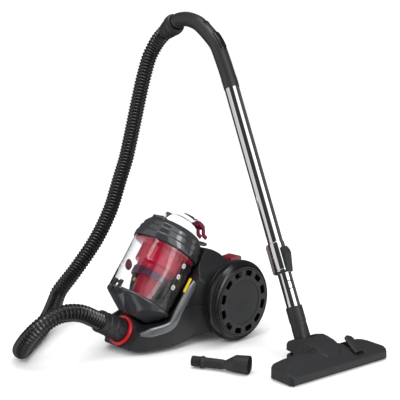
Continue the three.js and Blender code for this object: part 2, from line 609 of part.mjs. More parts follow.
// ---------------------------------------------------------------- hose and its ends
function makeConnector(parent) {
  const { length } = CONNECTOR;
  const r = connectorRadius;
  const bore = connectorBore;
  const body = ring([
    [bore, -12], [r - 4, -12], [r - 4, -5], [r, -5], [r, 32], [r - 1.5, 33], [r - 1.5, 50], [r - 3, 52],
    [r - 3, length - 8], [r - 1.5, length - 6], [r - 1.5, length], [bore, length],
  ]);
  const pocket = (s) => box(s > 0 ? r - 5 : -r - 5, s > 0 ? r + 5 : -r + 5, -7.5, 7.5, 8.5, 27.5);
  part(parent, 'hose_connector', 'charcoal', placeAtInlet(cut(body, pocket(1), pocket(-1))));
  for (const side of [-1, 1]) {
    const button = plate([[-7, 9], [7, 9], [7, 27], [-7, 27]], r - 2, r + 2, 4)
      .applyMatrix4(new THREE.Matrix4().set(0, 0, side, 0, 1, 0, 0, 0, 0, 1, 0, 0, 0, 0, 0, 1));
    const name = side > 0 ? 'connector_button_right' : 'connector_button_left';
    part(parent, name, 'charcoal', placeAtInlet(button));
  }
}

const toCanister = (back, up) => {
  const yaw = rad(WAND.yaw);
  return v3(WAND.x - back * Math.cos(yaw), WAND.y + back * Math.sin(yaw), WAND.z + up);
};
const swivelEnd = (reach) =>
  [SWIVEL.back + reach * Math.cos(rad(SWIVEL.dip)), SWIVEL.up - reach * Math.sin(rad(SWIVEL.dip))];

/** The hose's route: out of the connector, round in a loop on the floor, and up to the handle. */
const HOSE_GAP = 1;
const [hoseY, hoseZ] = fromInlet(CONNECTOR.length + HOSE_GAP);
const HOSE_ROUTE = [
  v3(0, hoseY, hoseZ), v3(0, hoseY - 15.6, hoseZ + 9),
  v3(-1, -328, 101), v3(-4, -352, 109), v3(-10, -380, 110),
  v3(-20, -404, 100), v3(-36, -422, 80), v3(-58, -431, 55), v3(-82, -428, 32), v3(-104, -412, 21),
  v3(-128, -384, 19.3), v3(-158, -345, 19.3), v3(-190, -303, 22), v3(-218, -262, 35), v3(-238, -228, 60),
  v3(-246, -208, 81), v3(-244, -163, 122), v3(-233, -110, 187), v3(-228, -68, 255), v3(-229, -37, 324),
  v3(-230, -16, 370), v3(-232, 1, 417), v3(-233, 16, 464), v3(-234, 31, 512), v3(-232, 44, 559),
  v3(-227, 58, 607), v3(-219, 66, 632), v3(-206, 71, 653), toCanister(...swivelEnd(SWIVEL.length + 13)),
  toCanister(...swivelEnd(SWIVEL.length + HOSE_GAP)),
];

function makeHose(parent) {
  const curve = new THREE.CatmullRomCurve3(HOSE_ROUTE, false, 'catmullrom', 0.5);
  const section = ovalShape(HOSE.radius, HOSE.radius, HOSE.sides);
  part(parent, 'suction_hose', 'rubber', swept(curve, section, HOSE.steps));
}

// ---------------------------------------------------------------- handle
function makeHandle(parent) {
  const plane = group(parent, WAND.x, WAND.y, WAND.z, [0, 0, -WAND.yaw]);
  const s = GRIP.cuffFrom;
  const onAxis = (q) => [q * Math.sin(rad(WAND.lean)), q * Math.cos(rad(WAND.lean))];
  const points = [
    onAxis(s), onAxis(s + 12), [260, 552.5], [275, 580], [297, 614.3], [329.8, 640.5], [362.8, 660.5],
    [388.8, 668.6], [411.8, 672], swivelEnd(-13), swivelEnd(-1),
  ];
  const curve = new THREE.CatmullRomCurve3(points.map(([back, up]) => v3(-back, 0, up)));
  const bore = gripRadius - GRIP.wall;
  const tube = swept(curve, ovalShape(gripRadius, gripRadius, 12, bore, bore), 18);
  const socket = bar(UPPER.radius + GAP, s - 5, UPPER.to + 1, 24).rotateY(-rad(WAND.lean));
  const seat = (g) => g.rotateY(rad(SLIDER.tilt)).translate(-SLIDER.back, 0, SLIDER.up);
  part(plane, 'handle_grip', 'charcoal', cut(tube, socket, seat(box(-24, 24, -8, 8, -3.5, 12))));
  part(plane, 'suction_slider', 'charcoal', seat(box(-22, 0, -7.5, 7.5, -3, 2)));

  const collar = ring([
    [SWIVEL.bore + 2, 0], [gripRadius + 1.5, 0], [gripRadius + 4, 5], [gripRadius + 4, 16],
    [gripRadius + 2.5, 20], [HOSE.radius + 2.5, SWIVEL.length - 2], [HOSE.radius + 1, SWIVEL.length],
    [SWIVEL.bore, SWIVEL.length],
  ]).rotateY(-Math.PI / 2 - rad(SWIVEL.dip)).translate(-SWIVEL.back, 0, SWIVEL.up);
  part(plane, 'hose_swivel', 'charcoal', collar);
}

// ---------------------------------------------------------------- telescopic wand
function makeWand(parent) {
  const yawed = group(parent, WAND.x, WAND.y, WAND.z, [0, 0, -WAND.yaw]);
  const g = group(yawed, 0, 0, 0, [0, -WAND.lean, 0]);
  const { radius: r, wall } = UPPER;
  part(g, 'upper_tube', 'chrome', pipe(r, r - wall, UPPER.from + 8, UPPER.to));
  part(g, 'lower_tube', 'chrome', pipe(lowerRadius, lowerRadius - LOWER.wall, LOWER.from, LOWER.to));
  const sleeveEnd = UPPER.from + 68;
  const sleeve = ring([
    [lowerRadius + RUN, UPPER.from], [r + 2.2, UPPER.from], [r + 2.2, UPPER.from + 8],
    [r + 1.6, UPPER.from + 9], [r + 1.6, sleeveEnd - 2], [r + GAP, sleeveEnd], [r + GAP, UPPER.from + 7.5],
    [lowerRadius + RUN, UPPER.from + 7.5],
  ]);
  part(g, 'telescope_sleeve', 'chrome', sleeve);
  const face = r + 2.8;
  part(g, 'telescope_release', 'charcoal', frontPlate([
    [face, UPPER.from + 1], [face + 1.5, UPPER.from], [face + 12, UPPER.from + 38],
    [face + 10, UPPER.from + 46], [face + 4, UPPER.from + 54], [face, UPPER.from + 55],
  ], -8, 8, 1.5));
  part(g, 'park_clip', 'trim', frontPlate([
    [-face - 9, UPPER.from + 4], [-face, UPPER.from], [-face, sleeveEnd - 1], [-face - 4, sleeveEnd + 1],
    [-face - 9, sleeveEnd - 5],
  ], -7, 7, 1));
  return g;
}

// ---------------------------------------------------------------- floor head
function makeHead(parent, wand) {
  const collar = lowerRadius + 3;
  part(wand, 'head_cuff', 'charcoal', ring([
    [lowerRadius - 1.6, 37.4], [collar - 0.6, 37.4], [collar - 0.6, 48], [collar, 50], [collar, 81.5],
    [lowerRadius + GAP, 81.5], [lowerRadius + GAP, LOWER.from - GAP], [lowerRadius - 1.6, LOWER.from - GAP],
  ]));
  const elbowRings = [
    [36.8, 17, 17], [28, 16.5, 17], [12, 15.5, 18], [2, 14.5, 19], [-8, 11.5, 19], [-13, 5, 19],
  ];
  const elbow = lofted(elbowRings.map(([z, rx, ry]) => oval(v3(0, 0, z), rx, ry, 16, 2.3)));
  part(wand, 'elbow', 'charcoal', elbow);

  const yaw = rad(WAND.yaw);
  const headX = WAND.x - HEAD.pivotX * Math.cos(yaw);
  const g = group(parent, headX, WAND.y + HEAD.pivotX * Math.sin(yaw), 0, [0, 0, -WAND.yaw]);
  const { halfLength: half, front, back, height, bumper, sole } = HEAD;
  const { back: hoodBack, half: hoodHalf } = HOOD;
  const base = sole + GAP;
  const profile = [
    [back, base], [front - 3, base], [front, base + 4], [front - 2, bumper], [front - 12, bumper + 4],
    [back + 26, height], [back + 8, height], [back, height - 10],
  ];
  const plan = [
    [back + 6, -half], [front - 10, -half], [front, -half + 7], [front, half - 7], [front - 10, half],
    [back + 6, half], [back, half - 10], [back, -half + 10],
  ];
  const heights = [
    [-half, base], [half, base], [half, bumper + 6], [half - 30, height - 4], [52, height + 1],
    [-52, height + 1], [-half + 30, height - 4], [-half, bumper + 6],
  ];
  const slab = common(
    frontPlate(profile, -half, half), plate(plan, 0, 90), sidePlate(heights, back - 5, front + 5));
  const hoodPlan = [
    [hoodBack, -hoodHalf + 2], [-4, -hoodHalf], [30, -hoodHalf + 2], [52, -hoodHalf + 8], [64, -14],
    [64, 14], [52, hoodHalf - 8], [30, hoodHalf - 2], [-4, hoodHalf], [hoodBack, hoodHalf - 2],
  ];
  const hoodProfile = [
    [hoodBack, 12], [hoodBack + 6, 6], [64, 6], [65, 27], [58, 36], [40, 46], [10, 51], [-4, 52], [-24, 47],
    [hoodBack + 4, 40], [hoodBack, 34],
  ];
  const hood = common(plate(hoodPlan, 0, 80), frontPlate(hoodProfile, -half, half));
  const fork = box(hoodBack - 20, -4.5, -20, 20, 12, 90);
  const airway = box(-10, back + 20, -14, 14, 6, 26);
  const mouth = box(back + 14, front - 26, -half + 26, half - 26, 0, 14);
  const brushSlot = box(front - 20, front - 10, -half + 22, half - 22, 0, 15);
  const pedalWell = box(back + 7, back + 56, PEDAL_TONGUE.y - 14, PEDAL_TONGUE.y + 14, 21, 60);
  const wheelPockets = [-1, 1].map((side) =>
    box(hoodBack - 4, hoodBack + 21, side * 30.5 - 7, side * 30.5 + 7, 0, 19));
  const axleSlot = box(ROLLER.x - 3, ROLLER.x + 3, -30, 30, 0, ROLLER.radius + 3);
  part(g, 'head_body', 'charcoal', cut(
    join(slab, hood), fork, airway, mouth, brushSlot, pedalWell, ...wheelPockets, axleSlot));

  const soleOuter = plate([
    [back + 2, -half + 12], [back + 8, -half + 3], [front - 12, -half + 3], [front - 3, -half + 9],
    [front - 3, half - 9], [front - 12, half - 3], [back + 8, half - 3], [back + 2, half - 12],
  ], 0, sole);
  part(g, 'sole_plate', 'steel', cut(soleOuter, box(back + 15, front - 27, -half + 27, half - 27, -1, 9),
    box(front - 20, front - 10, -half + 22, half - 22, -1, 9)));
  part(g, 'brush_strip', 'bristle', box(front - 19, front - 11, -half + 23, half - 23, 1, 8.6));

  const { hinge, y } = PEDAL_TONGUE;
  part(g, 'head_pedal', 'charcoal', join(
    bar(4, -12, 12, 14).rotateX(Math.PI / 2).translate(hinge[0], y, hinge[1]),
    frontPlate([
      [hinge[0], hinge[1] - 2], [hinge[0] + 2, hinge[1] + 5], [hinge[0] - 30, hinge[1] + 26],
      [hinge[0] - 36, hinge[1] + 25], [hinge[0] - 37, hinge[1] + 20],
    ], y - 12, y + 12, 2),
  ));

  const { x, radius: r, axle, reach, width } = ROLLER;
  part(g, 'head_wheels', 'rubber', turned([
    [0, -reach - width], [r, -reach - width], [r, -reach], [axle, -reach], [axle, reach], [r, reach],
    [r, reach + width], [0, reach + width],
  ], 18).rotateX(Math.PI / 2).translate(x, 0, r));
}

// ---------------------------------------------------------------- crevice and dusting tool
function makeTool(parent) {
  const g = group(parent, TOOL.x, TOOL.y, TOOL.z, [0, 0, TOOL.turn]);
  const R = TOOL.mouthRadius;
  const stations = [
    [0, R, R], [-30, R - 1.5, R - 1.5], [-52, 9.5, 9], [-58, 9, 10.5], [-94, 9, 10.5], [-97, 12, 12.5],
    [-102, 12, 12.5],
  ];
  const sink = (height) => (height < R - 2 ? -R + 13 : 0);
  const rings = (inset) => stations.map(([x, ry, rz], i) => {
    const overrun = inset > 0 ? (i === 0) - (i === stations.length - 1) : 0;
    return oval(v3(x + overrun, 0, sink(rz)), ry - inset, rz - inset, 14, 2.2, v3(0, 1, 0), v3(0, 0, 1));
  });
  part(g, 'tool_body', 'charcoal', cut(lofted(rings(0)), lofted(rings(2))));
  const spout = [[9, -122], [11, -122], [11.5, -108], [11.5, -102.6], [9, -102.6]];
  part(g, 'tool_brush', 'charcoal', ring(spout, 16).rotateY(Math.PI / 2).translate(0, 0, sink(0)));
}

// ---------------------------------------------------------------- the whole object
const machine = new THREE.Group();
makeLowerChassis(machine);
makeUpperHousing(machine);
makeTrim(machine);
makeInlet(machine);
makeMotor(machine);
makeExhaust(machine);
makePedals(machine);
for (const side of [-1, 1]) {
  makeWheel(machine, side);
  makeCaster(machine, side);
}
makeLid(makeBin(machine));
makeConnector(machine);
makeHose(machine);
makeHandle(machine);
makeHead(machine, makeWand(machine));
makeTool(machine);

// The part's origin is on the floor, under the middle of the box round everything but the free hose.
const extent = new THREE.Box3();
machine.updateMatrixWorld(true);
machine.traverse((piece) => {
  if (piece.isMesh && piece.name !== 'suction_hose') extent.expandByObject(piece, true);
});
const middle = extent.getCenter(v3());
machine.position.set(-middle.x, -middle.y, -extent.min.z);

const vacuum = new THREE.Group();
vacuum.add(machine);
export default vacuum;
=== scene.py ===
"""Looks for the canister vacuum cleaner. Every place is in the canister's own frame: its origin is on the
floor midway between the big wheels, -Y is the front and +Z is up. Sizes are in millimetres until MM makes
them metres."""
import math

import bpy
from mathutils import Matrix, Vector


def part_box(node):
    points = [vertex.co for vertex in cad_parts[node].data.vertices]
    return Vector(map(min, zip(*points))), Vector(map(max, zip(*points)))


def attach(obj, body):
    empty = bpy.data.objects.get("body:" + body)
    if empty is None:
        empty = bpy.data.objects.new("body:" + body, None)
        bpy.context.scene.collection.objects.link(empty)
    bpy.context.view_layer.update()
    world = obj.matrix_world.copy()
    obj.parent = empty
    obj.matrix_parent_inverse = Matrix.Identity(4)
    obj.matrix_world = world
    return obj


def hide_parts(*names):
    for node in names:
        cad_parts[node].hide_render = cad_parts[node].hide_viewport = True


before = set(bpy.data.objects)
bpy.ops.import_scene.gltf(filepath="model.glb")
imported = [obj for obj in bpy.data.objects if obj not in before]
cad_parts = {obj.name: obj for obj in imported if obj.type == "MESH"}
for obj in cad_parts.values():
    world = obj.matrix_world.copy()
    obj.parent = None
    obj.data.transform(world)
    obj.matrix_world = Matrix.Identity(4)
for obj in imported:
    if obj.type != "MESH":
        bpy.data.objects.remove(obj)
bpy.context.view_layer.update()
MM = 0.001

left_low, left_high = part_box("wheel_left_tyre")
_, right_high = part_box("wheel_right_tyre")
ORIGIN = Vector(((left_low[0] + right_high[0]) / 2, (left_low[1] + left_high[1]) / 2, 0))

# ------------------------------------------------------------------ sizes shared with the CAD model, in mm
WHEEL_INNER, WHEEL_RADIUS, WHEEL_WIDTH = 102, 90, 37
PLATE_RADIUS, HUB_RADIUS = 73.6, 54
SLOT_COUNT, SLOT_IN, SLOT_OUT = 12, 58.5, 70.5
BIN_RADIUS, BIN_WALL, BIN_LENGTH = 73.5, 2.5, 125
LID_TOP = 178
INLET_RING, INLET_BORE = 33, 26
CONNECTOR_RADIUS, CONNECTOR_BORE, CONNECTOR_LENGTH = 25.2, 17, 66
HOSE_RADIUS, HOSE_GAP = 19, 1
LEAN, YAW = 25.1, 7.6
GRIP_RADIUS = 17.6
UPPER_RADIUS, UPPER_FROM, UPPER_TO = 16.5, 154, 592
LOWER_RADIUS, LOWER_FROM, LOWER_TO = 14.8, 46, 530
SWIVEL_BACK, SWIVEL_UP, SWIVEL_DIP, SWIVEL_LENGTH = 450.3, 664.5, 27, 44


def turn(degrees, axis):
    return Matrix.Rotation(math.radians(degrees), 4, axis)


def shift(x, y, z):
    return Matrix.Translation(Vector((x, y, z)))


CANISTER = shift(0, 0, 0)
BIN = shift(0, -181, 100) @ turn(-38, "X")
INLET = shift(0, -233, 46) @ turn(60, "X")
PLANE = shift(307, 8, 30) @ turn(-YAW, "Z")
WAND = PLANE @ turn(-LEAN, "Y")
HEAD = PLANE @ shift(23.4, 0, -30)
TOOL = shift(289, -142, 18.6) @ turn(25.5, "Z")


# ------------------------------------------------------------------ materials
def principled(name, color, roughness, metallic=0.0, **sockets):
    material = bpy.data.materials.new(name)
    material.use_nodes = True
    shader = material.node_tree.nodes["Principled BSDF"]
    shader.inputs["Base Color"].default_value = (*color, 1)
    shader.inputs["Roughness"].default_value = roughness
    shader.inputs["Metallic"].default_value = metallic
    for socket, value in sockets.items():
        title = socket.replace("_", " ").title().replace("Ior", "IOR")
        shader.inputs[title].default_value = value
    return material, material.node_tree, shader


def textured(tree, kind, scale):
    """A procedural texture in the object's own coordinates; returns its grey value's socket."""
    place = tree.nodes.new("ShaderNodeTexCoord")
    texture = tree.nodes.new(kind)
    texture.inputs["Scale"].default_value = scale
    if "Detail" in texture.inputs:
        texture.inputs["Detail"].default_value = 4.0
    tree.links.new(place.outputs["Object"], texture.inputs["Vector"])
    return texture.outputs["Fac"] if "Fac" in texture.outputs else texture.outputs["Distance"]


def vary(tree, shader, socket, value, low, high):
    """Lets a texture's value drive a shader input between two values."""
    span = tree.nodes.new("ShaderNodeMapRange")
    span.inputs["To Min"].default_value = low
    span.inputs["To Max"].default_value = high
    tree.links.new(value, span.inputs["Value"])
    tree.links.new(span.outputs["Result"], shader.inputs[socket])


def bump(tree, shader, value, strength, distance):
    node = tree.nodes.new("ShaderNodeBump")
    node.inputs["Strength"].default_value = strength
    node.inputs["Distance"].default_value = distance
    tree.links.new(value, node.inputs["Height"])
    tree.links.new(node.outputs["Normal"], shader.inputs["Normal"])


def moulded(name, color, roughness, grain, strength, **sockets):
    """Injection-moulded plastic: a fine grain in its surface and slightly uneven gloss."""
    material, tree, shader = principled(name, color, roughness, **sockets)
    spread = min(0.06, roughness / 3)
    noise = textured(tree, "ShaderNodeTexNoise", 35)
    vary(tree, shader, "Roughness", noise, roughness - spread, roughness + spread)
    bump(tree, shader, textured(tree, "ShaderNodeTexNoise", grain), strength, 0.0003)
    return material


def perforated(name, color, spacing, metallic):
    """A face covered in fine cells, spaced about so many mm."""
    material, tree, shader = principled(name, color, 0.4, metallic=metallic)
    cells = textured(tree, "ShaderNodeTexVoronoi", 1 / (spacing * MM))
    bump(tree, shader, cells, 0.6, 0.0004)
    return material


SATIN = moulded("satin_charcoal", (0.016, 0.0165, 0.018), 0.40, 2600, 0.10, specular_ior_level=0.45)
HEAD_PLASTIC = moulded("head_charcoal", (0.020, 0.0205, 0.022), 0.46, 1800, 0.25, specular_ior_level=0.4)
GRIP_PLASTIC = moulded("grip_charcoal", (0.020, 0.0205, 0.022), 0.38, 2400, 0.12, specular_ior_level=0.45)
GLOSS = moulded(
    "gloss_charcoal", (0.030, 0.033, 0.036), 0.14, 200, 0.02, coat_weight=0.7, coat_roughness=0.05)
TRIM = moulded("gloss_trim", (0.085, 0.089, 0.094), 0.12, 200, 0.02, coat_weight=1.0, coat_roughness=0.04)
SILVER = moulded("silver_trim", (0.22, 0.23, 0.24), 0.25, 600, 0.05, metallic=0.5)
RED = moulded("gloss_red", (0.40, 0.008, 0.014), 0.20, 500, 0.02, coat_weight=0.5, coat_roughness=0.05)
PEDAL_RED = moulded(
    "pedal_red", (0.20, 0.004, 0.010), 0.22, 500, 0.02, coat_weight=0.4, coat_roughness=0.06)
RED_CLEAR = moulded(
    "red_translucent", (0.66, 0.014, 0.060), 0.22, 300, 0.02, transmission_weight=0.2, ior=1.3)
WINE = moulded("red_smoke", (0.24, 0.004, 0.040), 0.12, 300, 0.02, transmission_weight=0.35, ior=1.4)
RUBBER = moulded("wheel_black", (0.0055, 0.006, 0.007), 0.22, 1500, 0.05)
SOFT_RUBBER = moulded("soft_rubber", (0.012, 0.012, 0.012), 0.6, 1500, 0.15)
HOSE_PLASTIC = moulded(
    "hose_black", (0.0075, 0.008, 0.009), 0.20, 900, 0.03, coat_weight=0.5, coat_roughness=0.08)
YELLOW = moulded("yellow_marker", (0.75, 0.50, 0.015), 0.35, 500, 0.02)
WHITE = moulded("white_print", (0.85, 0.85, 0.85), 0.45, 500, 0.02)
FOAM = moulded("filter_foam", (0.05, 0.14, 0.22), 0.95, 900, 0.9)
BRISTLE = moulded("bristle_black", (0.012, 0.012, 0.012), 0.55, 3000, 0.3)
STEEL = moulded("brushed_steel", (0.55, 0.56, 0.57), 0.32, 700, 0.05, metallic=1.0)
MESH = perforated("mesh_screen", (0.10, 0.03, 0.06), 1.6, 0.8)
FACE = perforated("wheel_face", (0.012, 0.013, 0.015), 2.2, 0.0)
CHROME = moulded("chrome", (0.80, 0.81, 0.83), 0.07, 60, 0.0, metallic=1.0)
CLEAR = moulded(
    "clear_polycarbonate", (0.955, 0.96, 0.975), 0.03, 60, 0.0, transmission_weight=1.0, ior=1.2,
    coat_weight=0.6, coat_roughness=0.04)
HANDLE_CLEAR = moulded(
    "clear_handle", (0.84, 0.845, 0.86), 0.12, 60, 0.0, transmission_weight=1.0, ior=1.07,
    specular_ior_level=0.3)


# ------------------------------------------------------------------ mesh helpers
def piece(name, points, faces, place, body, material, replaces=(), modifiers=(), smooth=True):
    """A piece from points in mm in one of the frames above, riding on a CAD body."""
    mesh = bpy.data.meshes.new(name)
    mesh.from_pydata([ORIGIN + (place @ Vector(p)) * MM for p in points], [], faces)
    mesh.validate()
    mesh.update()
    obj = bpy.data.objects.new(name, mesh)
    bpy.context.scene.collection.objects.link(obj)
    mesh.materials.append(material)
    if smooth:
        mesh.shade_smooth()
        mesh.set_sharp_from_angle(angle=math.radians(38))
    for kind, settings in modifiers:
        add_modifier(obj, kind, **settings)
    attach(obj, body)
    if replaces:
        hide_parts(*replaces)
    return obj


def add_modifier(obj, kind, **settings):
    modifier = obj.modifiers.new(kind.lower(), kind)
    for key, value in settings.items():
        setattr(modifier, key, value)
    return modifier


def lathe(outline, segments=96):
    """Points and faces of a closed [radius, z] outline turned about Z."""
    points, faces = [], []
    count = len(outline)
    for i in range(segments):
        a = 2 * math.pi * i / segments
        points += [(r * math.cos(a), r * math.sin(a), z) for r, z in outline]
    for i in range(segments):
        j = (i + 1) % segments
        for k in range(count):
            m = (k + 1) % count
            faces.append((i * count + k, j * count + k, j * count + m, i * count + m))
    return points, faces


def rounded(outline, reach=1.0, steps=3):
    """The outline with each corner turned into a small arc."""
    result = []
    count = len(outline)
    for i, corner in enumerate(outline):
        here = Vector(corner)
        before, after = Vector(outline[i - 1]), Vector(outline[(i + 1) % count])
        r = min(reach, (before - here).length / 2.2, (after - here).length / 2.2)
        enter = here + (before - here).normalized() * r
        leave = here + (after - here).normalized() * r
        for k in range(steps + 1):
            t = k / steps
            result.append(tuple((1 - t) ** 2 * enter + 2 * t * (1 - t) * here + t * t * leave))
    return result


def catmull(points, spacing):
    """Evenly spaced points, in mm, along a smooth curve through the given ones, and the curve's length."""
    points = [Vector(p) for p in points]
    ends = [2 * points[0] - points[1]] + points + [2 * points[-1] - points[-2]]
    steps = 60
    dense = []
    for i in range(1, len(ends) - 2):
        a, b, c, d = ends[i - 1:i + 3]
        m0, m1 = 0.5 * (c - a), 0.5 * (d - b)
        for k in range(steps):
            t = k / steps
            cubic = 2 * b - 2 * c + m0 + m1
            square = -3 * b + 3 * c - 2 * m0 - m1
            dense.append(cubic * t ** 3 + square * t * t + m0 * t + b)
    dense.append(points[-1])
    lengths = [0.0]
    for p, q in zip(dense, dense[1:]):
        lengths.append(lengths[-1] + (q - p).length)
    count = max(2, round(lengths[-1] / spacing))
    result, k = [], 0
    for i in range(count + 1):
        s = lengths[-1] * i / count
        while k < len(dense) - 2 and lengths[k + 1] < s:
            k += 1
        t = (s - lengths[k]) / max(lengths[k + 1] - lengths[k], 1e-9)
        result.append(dense[k].lerp(dense[k + 1], min(max(t, 0), 1)))
    return result, lengths[-1]


def sweep(path, section, side):
    """Points and faces of section(i, t) swept along path; side is across the path at its start."""
    points, faces = [], []
    across = Vector(side)
    count = 0
    for i, p in enumerate(path):
        along = (path[min(i + 1, len(path) - 1)] - path[max(i - 1, 0)]).normalized()
        across = (across - along * across.dot(along)).normalized()
        up = along.cross(across)
        ring = section(i, i / (len(path) - 1))
        count = len(ring)
        points += [tuple(p + across * x + up * y) for x, y in ring]
    for i in range(len(path) - 1):
        for k in range(count):
            m = (k + 1) % count
            faces.append((i * count + k, i * count + m, (i + 1) * count + m, (i + 1) * count + k))
    faces.append(tuple(reversed(range(count))))
    faces.append(tuple(range(len(points) - count, len(points))))
    return points, faces


def circle(radius, count=48, squash=1.0):
    angles = [2 * math.pi * k / count for k in range(count)]
    return [(radius * math.cos(a), squash * radius * math.sin(a)) for a in angles]


def lozenge(half_width, half_height, count=32, power=3.2):
    """A rounded-rectangle section."""
    ring = []
    for k in range(count):
        a = 2 * math.pi * (k + 0.5) / count
        c, s = math.cos(a), math.sin(a)
        ring.append((
            half_width * math.copysign(abs(c) ** (2 / power), c),
            half_height * math.copysign(abs(s) ** (2 / power), s),
        ))
    return ring


def refine(node, material, voxel, smooth=0):
    """A CAD node that keeps its shape: edges softened as a mould leaves them, and its finish."""
    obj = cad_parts[node]
    if voxel:
        add_modifier(obj, "REMESH", mode="VOXEL", voxel_size=voxel * MM, use_smooth_shade=True)
        add_modifier(obj, "SMOOTH", factor=0.5, iterations=smooth)
    finish(obj, material)


def finish(obj, material):
    if not obj.material_slots:
        obj.data.materials.append(material)
    for material_slot in obj.material_slots:
        material_slot.link = "OBJECT"
        material_slot.material = material


# ------------------------------------------------------------------ camera
camera_data = bpy.data.cameras.new("camera")
camera_data.lens = 85
camera_data.sensor_width = 36
camera = bpy.data.objects.new("camera", camera_data)
bpy.context.scene.collection.objects.link(camera)
camera.location = ORIGIN + Vector((1488.7, -1481.9, 669.2)) * MM
camera.rotation_euler = (math.radians(80), 0, math.radians(45))
bpy.context.scene.camera = camera


# ------------------------------------------------------------------ hose
def in_plane(back, up):
    return tuple(PLANE @ Vector((-back, 0, up)))


def swivel_end(reach):
    dip = math.radians(SWIVEL_DIP)
    return in_plane(SWIVEL_BACK + reach * math.cos(dip), SWIVEL_UP - reach * math.sin(dip))


def make_hose():
    """The corrugated hose, along the route of its CAD solid."""
    start = INLET @ Vector((0, 0, CONNECTOR_LENGTH + HOSE_GAP))
    route = [
        tuple(start), (0, start.y - 15.6, start.z + 9), (-1, -328, 101), (-4, -352, 109), (-10, -380, 110),
        (-20, -404, 100), (-36, -422, 80), (-58, -431, 55), (-82, -428, 32), (-104, -412, 21),
        (-128, -384, 19.3), (-158, -345, 19.3), (-190, -303, 22), (-218, -262, 35), (-238, -228, 60),
        (-246, -208, 81), (-244, -163, 122), (-233, -110, 187), (-228, -68, 255), (-229, -37, 324),
        (-230, -16, 370), (-232, 1, 417), (-233, 16, 464), (-234, 31, 512), (-232, 44, 559),
        (-227, 58, 607), (-219, 66, 632), (-206, 71, 653), swivel_end(SWIVEL_LENGTH + 13),
        swivel_end(SWIVEL_LENGTH + HOSE_GAP),
    ]
    pitch, depth, rings_per_fold = 7.6, 3.0, 8
    path, length = catmull(route, pitch / rings_per_fold)

    def section(i, t):
        fold = 0.5 + 0.5 * math.cos(2 * math.pi * i / rings_per_fold)
        return circle(HOSE_RADIUS - 0.2 - depth * (1 - fold ** 0.8), 32)

    points, faces = sweep(path, section, (1, 0, 0))
    hose = piece("hose_corrugated", points, faces, CANISTER, "canister", HOSE_PLASTIC, ("suction_hose",))


# ------------------------------------------------------------------ wheels
def make_wheel(side):
    name = "right" if side > 0 else "left"
    body = "wheel_" + name
    place = shift(side * WHEEL_INNER, 0, WHEEL_RADIUS) @ turn(side * 90, "Y")
    tyre = [
        (74.6, 1), (82, 1), (85.5, 3), (87.6, 7), (88, 9.5), (86.9, 10.6), (88.2, 11.7), (89.6, 15),
        (WHEEL_RADIUS, 19), (89.8, 24), (88.9, 28.5), (87.2, 31.4), (86.0, 31.8), (85.6, 33.2), (83.8, 35.8),
        (81, 37.6), (79, 38.4), (78.2, 37.4), (77.2, 38.9), (74.6, 39),
    ]
    points, faces = lathe(tyre, 128)
    piece(f"tyre_{name}", points, faces, place, body, RUBBER, (f"wheel_{name}_tyre",))
    make_cover(name, place, body)
    hub = rounded([
        (0.2, 33.2), (HUB_RADIUS, 33.2), (HUB_RADIUS, 38.2), (HUB_RADIUS - 1.5, 39.2), (0.2, 39.2),
    ], 0.6)
    points, faces = lathe(hub, 96)
    piece(f"hub_face_{name}", points, faces, place, body, FACE)
    finish(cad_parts[f"wheel_{name}_rim"], RUBBER)
    finish(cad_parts[f"axle_{name}"], STEEL)


def make_cover(name, place, body):
    """The wheel's face plate: a grid of cells round the axis, open where the slots are."""
    radii = [HUB_RADIUS - 4, SLOT_IN, SLOT_IN + 1.4, SLOT_OUT - 1.4, SLOT_OUT, PLATE_RADIUS]
    half_slot, corner = 0.155, 0.022
    breaks = []
    for i in range(SLOT_COUNT):
        middle = 2 * math.pi * (i + 0.5) / SLOT_COUNT
        inside = [-half_slot, -half_slot + corner, 0, half_slot - corner, half_slot]
        breaks += [middle + d for d in inside] + [middle + math.pi / SLOT_COUNT]
    points, faces = [], []
    for a in breaks:
        points += [(r * math.cos(a), r * math.sin(a), WHEEL_WIDTH - 0.2) for r in radii]
    row = len(radii)
    for i in range(len(breaks)):
        j = (i + 1) % len(breaks)
        cell = i % 6
        for k in range(row - 1):
            in_slot = cell in (1, 2) and k in (1, 2, 3) or cell in (0, 3) and k == 2
            if not in_slot:
                faces.append((i * row + k, j * row + k, j * row + k + 1, i * row + k + 1))
    modifiers = [
        ("SOLIDIFY", dict(thickness=3.4 * MM, offset=-1)),
        ("BEVEL", dict(width=0.7 * MM, segments=3, limit_method="ANGLE")),
    ]
    piece(f"cover_{name}", points, faces, place, body, SATIN, (f"wheel_{name}_cover",), modifiers)


